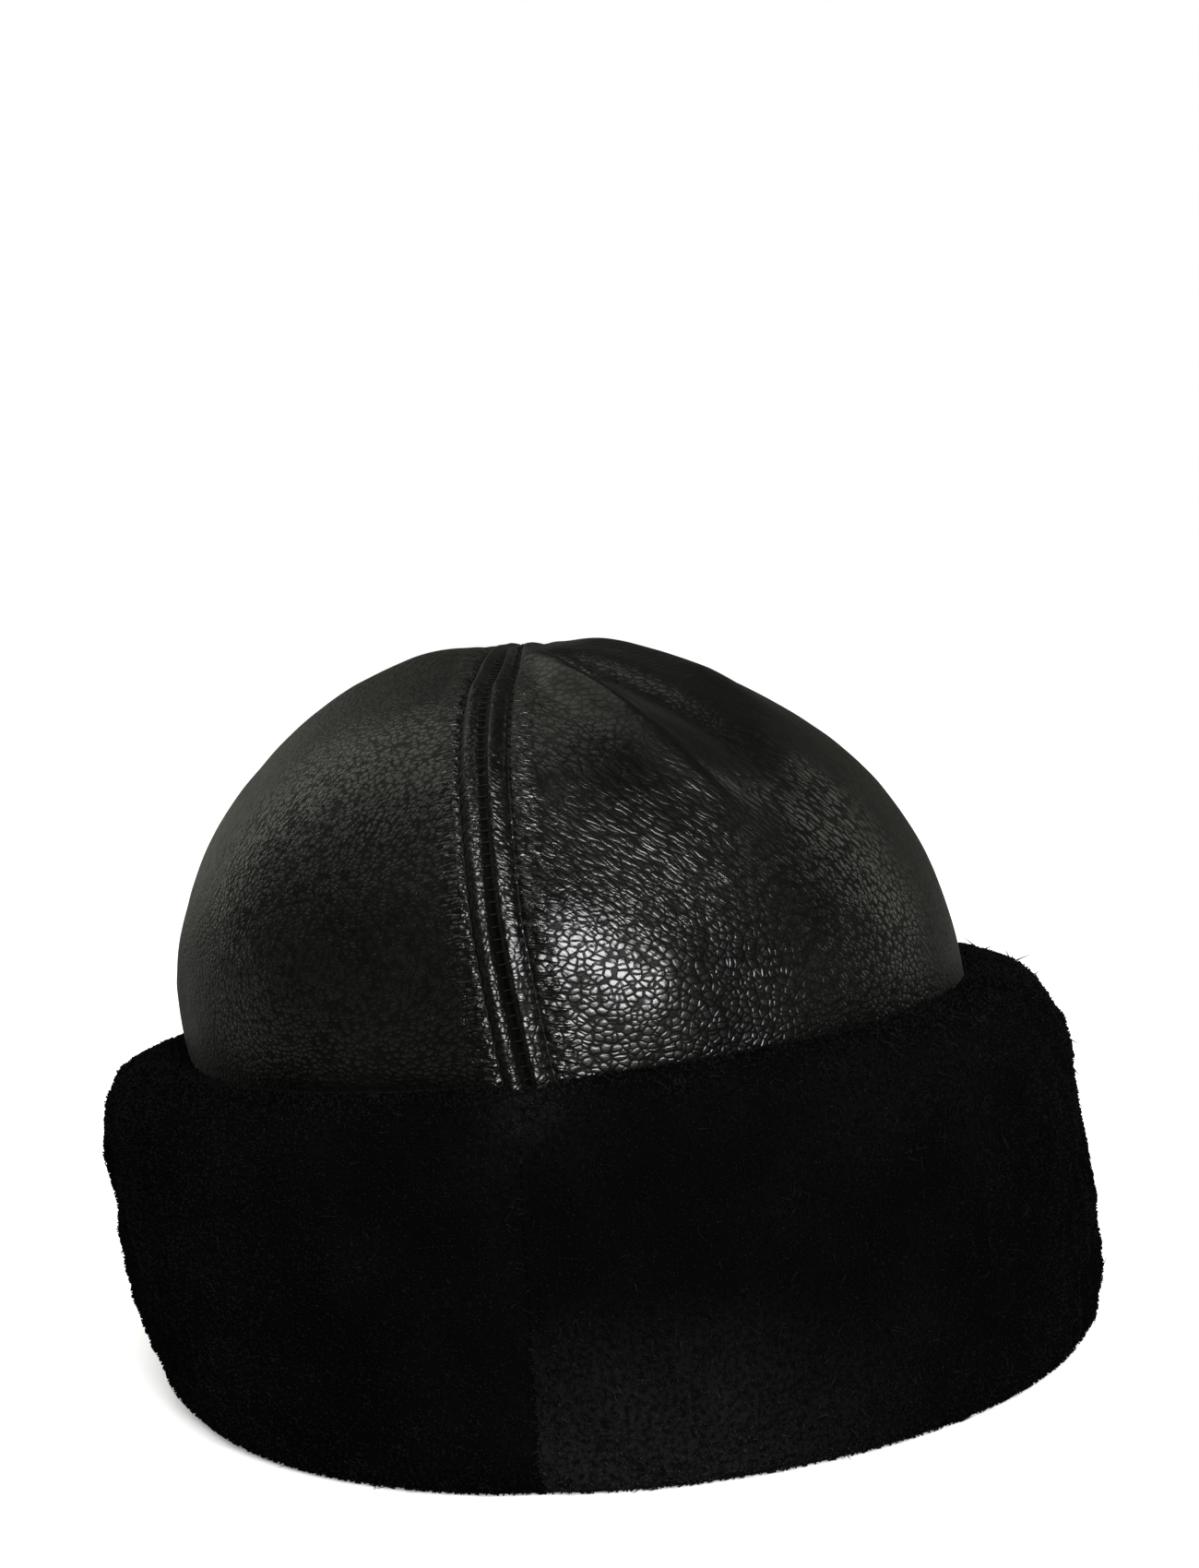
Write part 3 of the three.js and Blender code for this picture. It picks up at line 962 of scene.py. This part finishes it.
# Lumps grow from none to full between these distances off the crown and off the floor
LUMPS_OUT = (3, 7)
LUMPS_UP = (1, 7)
CUFF_STRIP = [0.05, 0.4, 1.0, 1.6, 2.4, 3.4, 4.6, 6.0, 7.6, 9.5, 12]
CUFF_PANELS = 150
CORNER_STEPS = 22


def cuff_section(height, thickness, settled, foot_roundness):
    """A closed loop of (out, up) in millimetres for every column, inset by the settled pile."""
    turn = np.linspace(0, math.pi / 2, CORNER_STEPS + 1)[1:, None]
    fattest = CUFF_FATTEST * height
    foot = CUFF_FOOT_SHARE * thickness
    thick, crest = thickness - settled, height - settled
    out_top = np.sin(turn) ** (2 / TOP_ROUNDNESS)
    up_top = np.cos(turn) ** (2 / TOP_ROUNDNESS)
    slope = CREST_SLOPE * height * out_top * np.minimum(1, CREST_SLOPE_EASE * np.cos(turn))
    out_foot = np.maximum(np.cos(turn), 0) ** (2 / foot_roundness)
    up_foot = 1 - np.sin(turn) ** (2 / foot_roundness)
    ones = np.ones_like(height)
    inner_edge = -CROWN_WALL + INNER_FOLD_EDGE
    inner_fold = CROWN_FOOT - INNER_FOLD_DEPTH
    rows = [
        (inner_edge, inner_fold * ones),
        (CROWN_GAP, inner_fold * ones),
        (CROWN_GAP, 0.5 * height),
        (CROWN_GAP, INNER_SIDE_SHARE * height),
        (CREST_CORNER["out"], crest - CREST_CORNER["down"]),
    ]
    rows += [(thick * out, fattest + (crest - fattest) * up - s)
             for out, up, s in zip(out_top, up_top, slope)]
    rows += [(foot + (thick - foot) * out, np.maximum(fattest * up, FLOOR_GAP))
             for out, up in zip(out_foot, up_foot)]
    rows += [
        (0.5 * foot, FLOOR_GAP),
        (-CROWN_WALL / 2, FLOOR_GAP),
        (inner_edge, CROWN_FOOT / 3),
    ]
    out = np.stack([row[0] * ones for row in rows], axis=1)
    up = np.stack([row[1] * ones for row in rows], axis=1)
    return out, up


def cuff_grid(side):
    """Points of one half of the cuff, and how far out of the crown each one is."""
    columns = half_columns(side, CUFF_STRIP, CUFF_PANELS)
    across, along = columns["across"], columns["along"]
    parting = PART_DEPTH * bell(columns["away"], PART_WIDTH)
    settle = CUFF_SETTLE_RIGHT * np.maximum(across, 0) ** 3
    swell = CUFF_SWELL_LEFT * np.maximum(-across, 0) ** 3
    height = CUFF_HEIGHT + CUFF_RISE_RIGHT * across - CUFF_RISE_FRONT * along
    height += swell - settle - parting
    foot_roundness = FOOT_ROUNDNESS + FOOT_FULLER_RIGHT * across
    out, up = cuff_section(height, CUFF_THICKNESS + swell - parting, PILE, foot_roundness)
    across, along = across[:, None] + 0 * out, along[:, None] + 0 * out
    points = crown_point(across, along, out, up)
    outer = share_between(out, *LUMPS_OUT) * share_between(up, *LUMPS_UP)
    return crown_point(across, along, out + lumps(points, CUFF_LUMPS) * outer, up), out


print("the cuff is", CUFF_HEIGHT, "mm high and", CUFF_THICKNESS, "mm thick")

# %% [markdown]
# The swept section is open at its two ends, where the halves of the cuff meet. Both ends are
# closed, so that each half is one solid. Hairs grow only on the faces whose pile shows.

# %% Close the ends and find the outer faces
GAP_MARGIN = 0.1


def outer_faces(faces, out):
    """The faces whose pile shows: all but those against the crown's wall and under its foot."""
    outside = (out[faces] > CROWN_GAP + GAP_MARGIN).any(axis=1)
    underneath = (out[faces] < CROWN_GAP - GAP_MARGIN).all(axis=1)
    return faces[outside | underneath]


def cap_ends(body, index):
    """Closes the two ends of a swept loop."""
    work = bmesh.new()
    work.from_mesh(body.data)
    work.verts.ensure_lookup_table()
    for column in (index[0], index[-1]):
        work.faces.new([work.verts[k] for k in column])
    bmesh.ops.triangulate(work, faces=[f for f in work.faces if len(f.verts) > 4])
    bmesh.ops.recalc_face_normals(work, faces=work.faces)
    work.to_mesh(body.data)
    work.free()


print("faces without pile lie", CROWN_GAP, "mm off the crown")

# %% [markdown]
# Wool that lies one way looks lighter than wool that lies the other, because it catches the light
# differently, and here that is painted sheen. The pile is painted lighter near the foot of the
# right half, a painted highlight runs along the crest, and a spot of painted sheen sits where the
# crown's seam meets the cuff. These places are painted on the meshes as one value, and the fur
# material adds it to its grey as painted light.

# %% The painted sheen of the cuff's nap
# Where the painted sheen lies low on the front of the right half, and how strong it is
NAP_TOP = 44
NAP_FOOT = 6
NAP_ENDS = (40, 85)
NAP_PAINTED_SHEEN = 5.6
# The painted highlight along the crest, between these heights, and how strong it is
CREST_STARTS = (66, 92)
CREST_PAINTED_HIGHLIGHT = 0.6
# A spot of painted sheen where the crown's seam meets the cuff
TUFT_PLACE = (3, 86)
TUFT_REACH = 8
TUFT_PAINTED_SHEEN = 3.0


def paint_nap_sheen(piece, side):
    """Paints how much light the pile catches, in steps from deep to tip."""
    where = np.array([v.co for v in piece.data.vertices]) / MM
    across, ahead, height = where.T
    front = ahead < 0
    low = 1 - share_between(height, NAP_FOOT, NAP_TOP)
    # Painted sheen near the foot of the right half's front
    turned = NAP_PAINTED_SHEEN * low * (1 - share_between(across, *NAP_ENDS)) * (side > 0)
    # A painted highlight along the crest
    crest = CREST_PAINTED_HIGHLIGHT * share_between(height, *CREST_STARTS)
    # A spot of painted sheen where the crown's seam meets the cuff
    from_tuft = np.hypot(across - TUFT_PLACE[0], height - TUFT_PLACE[1])
    paint(piece, "painted_nap_sheen", front * (turned + TUFT_PAINTED_SHEEN * bell(from_tuft, TUFT_REACH)) + crest)


# The painted sheen near the foot ends at this height
print("the turned pile ends", NAP_TOP, "mm above the floor")

# %% [markdown]
# Each half of the cuff gets its body, its dense coat of hairs, and a few longer grey hairs that
# stand out of the pile, as on any shorn skin. The two halves meet in a slight parting at the
# front, which the hairs beside it lean over.

# %% Make the cuff
HAIRS_EACH = 46000
HAIR_LENGTH = 3.0
HAIR_WIDTH = 0.5
HAIR_DROOP = 0.25
HAIR_SPREAD = 0.33
# From the first height to the second, hairs turn upwards and are longer by a share
RAGGED_CREST = (78, 90)
CREST_LONGER = 0.6
# Hairs beside the cuff's seam lean over it and hide it
SEAM_HAIRS_REACH = 2.5
SEAM_HAIRS_LEAN = 1.5
STRAY_HAIRS = 260
STRAY_LENGTH = 4.2
STRAY_WIDTH = 0.2
STRAY_SPREAD = 1.2
STRAY_RISE = 2
HAIR_SEED = 11
STRAY_SEED = 31


def make_cuff(side, label):
    """The body, the hairs and the stray hairs of one half."""
    grid, out = cuff_grid(side)
    index = np.arange(out.size).reshape(out.shape)
    closed = np.concatenate([index, index[:, :1]], axis=1)
    faces = grid_faces(closed)
    if side < 0:
        faces = faces[:, ::-1]
    points = grid.reshape(-1, 3)
    body = link_mesh(f"cuff_{label}_body", points, faces, SHADED_FUR_BODY)
    cap_ends(body, index)
    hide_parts(f"cuff_{label}")
    shown = outer_faces(faces, out.ravel())
    place, normal, rng = scatter(points, shown, HAIRS_EACH, HAIR_SEED + side)
    beside = bell(place[:, :1] - seam_x(place[:, 2:]), SEAM_HAIRS_REACH)
    crest = share_between(place[:, 2:], *RAGGED_CREST)
    upwards, sideways = [0, 0, 1], [1, 0, 0]
    comb = HAIR_DROOP * (2 * crest - 1) * upwards - side * SEAM_HAIRS_LEAN * beside * sideways
    length = HAIR_LENGTH * (1 + CREST_LONGER * crest)
    hairs = make_hairs(f"cuff_{label}_fur", place, normal, rng, length, HAIR_WIDTH, comb,
                       HAIR_SPREAD, FUR_HAIR)
    place, normal, rng = scatter(points, shown, STRAY_HAIRS, STRAY_SEED + side)
    place = place + STRAY_RISE * normal
    strays = make_hairs(f"cuff_{label}_strays", place, normal, rng, STRAY_LENGTH, STRAY_WIDTH, 0,
                        STRAY_SPREAD, STRAY_HAIR)
    for piece in (body, hairs, strays):
        # Painted sheen and highlight on the pile of every piece
        paint_nap_sheen(piece, side)
        print(piece.name, len(piece.data.polygons), "faces")


make_cuff(-1, "left")
make_cuff(1, "right")

# %% [markdown]
# Inside, the same skin carries its wool. The lining is a closed shell between the leather and
# the hollow for the head, with hairs pointing inwards. It is seen only from below.

# %% The wool inside
WOOL_FROM = 2.4
WOOL_TO = 6.3
WOOL_STRIP = [0.15, 2, 5, 9, 13]
WOOL_PANELS = 60
WOOL_ROWS = 48
WOOL_SKIRT = [70, 50, 30, CROWN_FOOT + 0.2]
WOOL_HAIRS = 24000
WOOL_LENGTH = 2.2
WOOL_WIDTH = 0.7
WOOL_DROOP = 0.2
WOOL_SPREAD = 0.4
WOOL_SEED = 21
WOOL_LUMPS = [
    {"height": 0.8, "size": 12, "seed": 5},
    {"height": 0.4, "size": 5, "seed": 6},
]
# The wool follows the leather's folds by this share
WOOL_FOLLOWS = 0.4


def make_lining(side, label):
    """The wool inside one half, with its hairs."""
    columns = half_columns(side, WOOL_STRIP, WOOL_PANELS)
    across, along, upright = dome_grid(columns, WOOL_ROWS, WOOL_SKIRT)
    plain = crown_point(across, along, -WOOL_TO, upright)
    folds = np.minimum(fold_relief(crown_point(across, along, 0.0, upright)), 0)
    outside = crown_point(across, along, -WOOL_FROM + folds, upright)
    depth = -WOOL_TO + lumps(plain, WOOL_LUMPS) + WOOL_FOLLOWS * folds
    inside = crown_point(across, along, depth, upright)
    vertices = np.concatenate([outside.reshape(-1, 3), inside.reshape(-1, 3)])
    piece = link_mesh(f"crown_{label}_lining", vertices, shell_faces(*across.shape), WOOL)
    tidy_mesh(piece)
    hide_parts(f"crown_{label}")
    inner = grid_faces(np.arange(across.size).reshape(across.shape))
    if side > 0:
        inner = inner[:, ::-1]
    place, normal, rng = scatter(inside.reshape(-1, 3), inner, WOOL_HAIRS, WOOL_SEED + side)
    droop = np.array([0, 0, -WOOL_DROOP])
    hairs = make_hairs(f"crown_{label}_wool", place, normal, rng, WOOL_LENGTH, WOOL_WIDTH, droop,
                       WOOL_SPREAD, WOOL)
    print(piece.name, len(piece.data.polygons), "faces, with", WOOL_HAIRS, "hairs")


make_lining(-1, "left")
make_lining(1, "right")

# %% [markdown]
# The stitches lie in the dips beside the seam, and thinner threads cross the groove itself
# like the rungs of a ladder. They are black on black and show only as small highlights and
# shadows, but a seam without them looks moulded and not sewn. The thread is waxed and twisted,
# so its grey varies finely.

# %% Thread
THREAD_DEEP = (0.0015, 0.0015, 0.0015, 1)
THREAD_PALE = (0.004, 0.004, 0.004, 1)
THREAD_ROUGHNESS = 0.65
THREAD_SPECULAR = 0.12
THREAD_FINENESS = 1500.0


def make_thread():
    """Matt black thread with a fine unevenness."""
    material, tree, shader = new_material("waxed thread")
    place = tree.add("ShaderNodeTexCoord").outputs["Object"]
    uneven = tree.add("ShaderNodeGroup", node_tree=UNEVEN)
    tree.put(uneven.inputs["Vector"], place)
    tree.put(uneven.inputs["Fine"], THREAD_FINENESS)
    colour = tree.add("ShaderNodeMix", {0: uneven.outputs[1], 6: THREAD_DEEP, 7: THREAD_PALE},
                      data_type="RGBA")
    tree.put(shader.inputs["Base Color"], colour.outputs[2])
    shader.inputs["Roughness"].default_value = THREAD_ROUGHNESS
    shader.inputs["Specular IOR Level"].default_value = THREAD_SPECULAR
    return material


THREAD = make_thread()
print("thread material:", THREAD.name)

# %% [markdown]
# To place the stitches, the seam is walked from the top down one end of the hat. The walk
# measures its way along the leather and gives even steps, and at each step the place, the way
# ahead and the way off the leather. A curve with an array modifier would also space them
# evenly, but it wouldn't know which way the leather faces.

# %% The walk along the seam
# The walk ends under the cuff's crest
WALK_FOOT = 78
WALK_DOME_STEPS = 400
WALK_WALL_STEPS = 12
LOOK_AHEAD = 0.5


def unit(vectors):
    """The same directions, 1 long."""
    return vectors / np.linalg.norm(vectors, axis=1)[:, None]


def seam_walk(side, away, lift, end, pitch):
    """Even steps down one end of the seam: places, the way ahead and the way off the leather."""
    turn = np.linspace(0, math.pi / 2, WALK_DOME_STEPS)
    foot = np.linspace(WIDEST_HEIGHT, WALK_FOOT, WALK_WALL_STEPS + 1)[1:]
    upright = np.concatenate([np.full(len(turn), np.nan), foot])
    share = np.concatenate([np.sin(turn), np.ones(len(foot))])

    def line(distance, proud):
        across = side * distance / CROWN_HALF_WIDTH
        along = end * math.sqrt(1 - across**2) * share
        return crown_point(across + 0 * along, along, proud, upright)

    plain = line(away, 0.0)
    sewn = line(away, seam_relief(side, away, plain) + lift)
    aside = line(away + 1, 0.0) - line(away, 0.0)
    run = np.concatenate([[0], np.cumsum(np.linalg.norm(np.diff(plain, axis=0), axis=1))])
    at = np.arange(pitch / 2, run[-1] - 1, pitch)

    def sample(values, where):
        return np.stack([np.interp(where, run, values[:, k]) for k in range(3)], axis=1)

    place = sample(sewn, at)
    ahead = unit(sample(sewn, at + LOOK_AHEAD) - place)
    upward = unit(np.cross(ahead, sample(aside, at))) * side * end
    return place, ahead, upward


print("a row has", len(seam_walk(1, STITCH_AWAY, 0.0, -1, STITCH_PITCH)[0]), "stitches in front")

# %% [markdown]
# Each stitch is a short rounded bar with its ends sunk into the leather, and each rung is a
# thinner one laid across the groove. All the bars of a row are one mesh, because hundreds of
# small objects would only slow the file down.

# %% Make the stitches
STITCH_LENGTH = 2.9
STITCH_THICKNESS = 0.5
STITCH_SINK = 0.45
RUNG_PITCH = 2.7
RUNG_LENGTH = 2.8
RUNG_THICKNESS = 0.3
RUNG_SINK = 0.2
RUNG_LIFT = 1.5
# Places along a bar, as shares of its length, and how thick it is there
BAR_RINGS = [(-0.5, 0.4), (-0.42, 0.8), (-0.2, 1.0), (0.2, 1.0), (0.42, 0.8), (0.5, 0.4)]
BAR_SIDES = 6


def make_bars(name, middle, direction, upward, length, thick, sink):
    """Rounded bars with six sides, arched so that their ends go down by sink."""
    aside = np.cross(direction, upward)
    vertices = []
    for share, girth in BAR_RINGS:
        centre = middle + direction * (share * length) - upward * (sink * (2 * share) ** 2)
        for k in range(BAR_SIDES):
            turn = 2 * math.pi * k / BAR_SIDES
            around = math.cos(turn) * aside + math.sin(turn) * upward
            vertices.append(centre + around * (girth * thick / 2))
    vertices = np.stack(vertices, axis=1).reshape(-1, 3)
    ring = np.arange(len(BAR_RINGS) * BAR_SIDES).reshape(len(BAR_RINGS), BAR_SIDES)
    tube = grid_faces(np.concatenate([ring, ring[:, :1]], axis=1))
    start_cap = [[0, 1, 2, 3], [0, 3, 4, 5]]
    end_cap = np.array([[3, 2, 1, 0], [5, 4, 3, 0]]) + ring[-1, 0]
    bar = np.concatenate([tube, start_cap, end_cap])
    first = np.arange(len(middle))[:, None, None] * ring.size
    return link_mesh(name, vertices, (first + bar).reshape(-1, 4), THREAD)


def make_stitches():
    """Two rows of stitches and the rungs in the groove, each from the top down both ends."""
    pieces = []
    for end, place_name in ((-1, "front"), (1, "back")):
        for side, label in ((-1, "left"), (1, "right")):
            walk = seam_walk(side, STITCH_AWAY, 0.0, end, STITCH_PITCH)
            pieces.append(make_bars(f"stitches_{label}_{place_name}", *walk, STITCH_LENGTH,
                                    STITCH_THICKNESS, STITCH_SINK))
        place, ahead, upward = seam_walk(1, 0.0, RUNG_LIFT, end, RUNG_PITCH)
        sideways = np.cross(ahead, upward)
        pieces.append(make_bars(f"rungs_{place_name}", place, sideways, upward, RUNG_LENGTH,
                                RUNG_THICKNESS, RUNG_SINK))
    for piece in pieces:
        print(piece.name, len(piece.data.polygons), "faces")


make_stitches()

# %% [markdown]
# The hat stands on a plain pale floor, much larger than the hat, so that no edge of it shows.
# The floor is matt and lit from all sides, which makes it nearly white. The hat's shine sees it
# as dark, because a black hat in a bright room would otherwise reflect grey all over.

# %% Floor
FLOOR_HALF = 12.0
FLOOR_PALE = (0.86, 0.86, 0.86, 1)
FLOOR_PALER = (0.88, 0.88, 0.88, 1)
FLOOR_SPOTS = 2.0
# What the hat's shine sees of the floor
FLOOR_IN_SHINE = (0.1, 0.1, 0.1, 1)


def make_floor():
    """A pale matt square, darker to the shine of the hat."""
    material, tree, shader = new_material("pale floor")
    place = tree.add("ShaderNodeTexCoord").outputs["Object"]
    uneven = tree.add("ShaderNodeGroup", node_tree=UNEVEN)
    tree.put(uneven.inputs["Vector"], place)
    tree.put(uneven.inputs["Broad"], FLOOR_SPOTS)
    pale = tree.add("ShaderNodeMix", {0: uneven.outputs[0], 6: FLOOR_PALE, 7: FLOOR_PALER},
                    data_type="RGBA")
    glossy = tree.add("ShaderNodeLightPath").outputs["Is Glossy Ray"]
    colour = tree.add("ShaderNodeMix", {0: glossy, 6: pale.outputs[2], 7: FLOOR_IN_SHINE},
                      data_type="RGBA")
    tree.put(shader.inputs["Base Color"], colour.outputs[2])
    shader.inputs["Roughness"].default_value = 1.0
    shader.inputs["Specular IOR Level"].default_value = 0.0
    corners = [(x * FLOOR_HALF, y * FLOOR_HALF, 0) for x, y in ((-1, -1), (1, -1), (1, 1), (-1, 1))]
    mesh = bpy.data.meshes.new("floor")
    mesh.from_pydata(corners, [], [(0, 1, 2, 3)])
    mesh.materials.append(material)
    floor = bpy.data.objects.new("floor", mesh)
    bpy.context.scene.collection.objects.link(floor)


make_floor()
print("the floor is", 2 * FLOOR_HALF, "m wide")

# %% [markdown]
# The sky does the same: it is white to the camera and bright to matt surfaces, but almost dark
# to shiny ones. A mirrored white room would turn black leather grey.

# %% Sky
SKY_SEEN = 1.0
SKY_FOR_MATT = 1.25
SKY_FOR_SHINE = 0.03


def make_sky():
    """White to the camera, bright to matt surfaces and dim to shiny ones."""
    world = bpy.data.worlds.new("studio")
    world.use_nodes = True
    tree = Tree(world.node_tree)
    path = tree.add("ShaderNodeLightPath")
    strength = tree.blend(path.outputs["Is Glossy Ray"], SKY_FOR_MATT, SKY_FOR_SHINE)
    strength = tree.blend(path.outputs["Is Camera Ray"], strength, SKY_SEEN)
    background = world.node_tree.nodes["Background"]
    background.inputs["Color"].default_value = (1, 1, 1, 1)
    tree.put(background.inputs["Strength"], strength)
    bpy.context.scene.world = world


make_sky()
print("sky strength", SKY_FOR_MATT, "for matt surfaces and", SKY_FOR_SHINE, "for shiny ones")

# %% [markdown]
# A black thing needs lamps to show its form. A soft key lamp in front and to the right makes the
# bright patch on the right half. A wide lamp overhead draws the top and the folds, two rims
# from behind lift the edges off the white, and a small fill reaches the left side.

# %% Lamps
WHITE = (1.0, 1.0, 1.0)
WARM = (1.0, 1.0, 0.88)
LAMP_AIM = Vector((0, 0, 0.11))
# Azimuth 0 is in front and 90 to the right. Distances and sizes are in metres, power in watts
LAMPS = {
    "key": {"azimuth": 25, "elevation": 23, "distance": 1.6, "size": (0.9, 0.9), "power": 54,
            "colour": WHITE},
    "top": {"azimuth": -110, "elevation": 70, "distance": 2.2, "size": (2.4, 2.4), "power": 15,
            "colour": WARM},
    "left rim": {"azimuth": -130, "elevation": 20, "distance": 1.8, "size": (0.7, 1.2),
                 "power": 3.0, "colour": WARM},
    "right rim": {"azimuth": 130, "elevation": 20, "distance": 1.8, "size": (0.7, 1.2),
                  "power": 2.2, "colour": WARM},
    "left fill": {"azimuth": -85, "elevation": 35, "distance": 1.8, "size": (0.8, 0.8),
                  "power": 0.6, "colour": WHITE},
}


def make_lamp(name, azimuth, elevation, distance, size, power, colour):
    """A soft rectangular lamp aimed at the crown."""
    turn, rise = math.radians(azimuth), math.radians(elevation)
    level = math.cos(rise)
    way = Vector((math.sin(turn) * level, -math.cos(turn) * level, math.sin(rise)))
    data = bpy.data.lights.new(name, "AREA")
    data.shape = "RECTANGLE"
    data.color = colour
    data.size, data.size_y = size
    data.energy = power
    lamp = bpy.data.objects.new(name, data)
    lamp.location = LAMP_AIM + way * distance
    lamp.rotation_euler = (-way).to_track_quat("-Z", "Y").to_euler()
    bpy.context.scene.collection.objects.link(lamp)


for name, lamp in LAMPS.items():
    make_lamp(name, **lamp)
bpy.context.scene.view_settings.view_transform = "Standard"
print(len(LAMPS), "lamps")
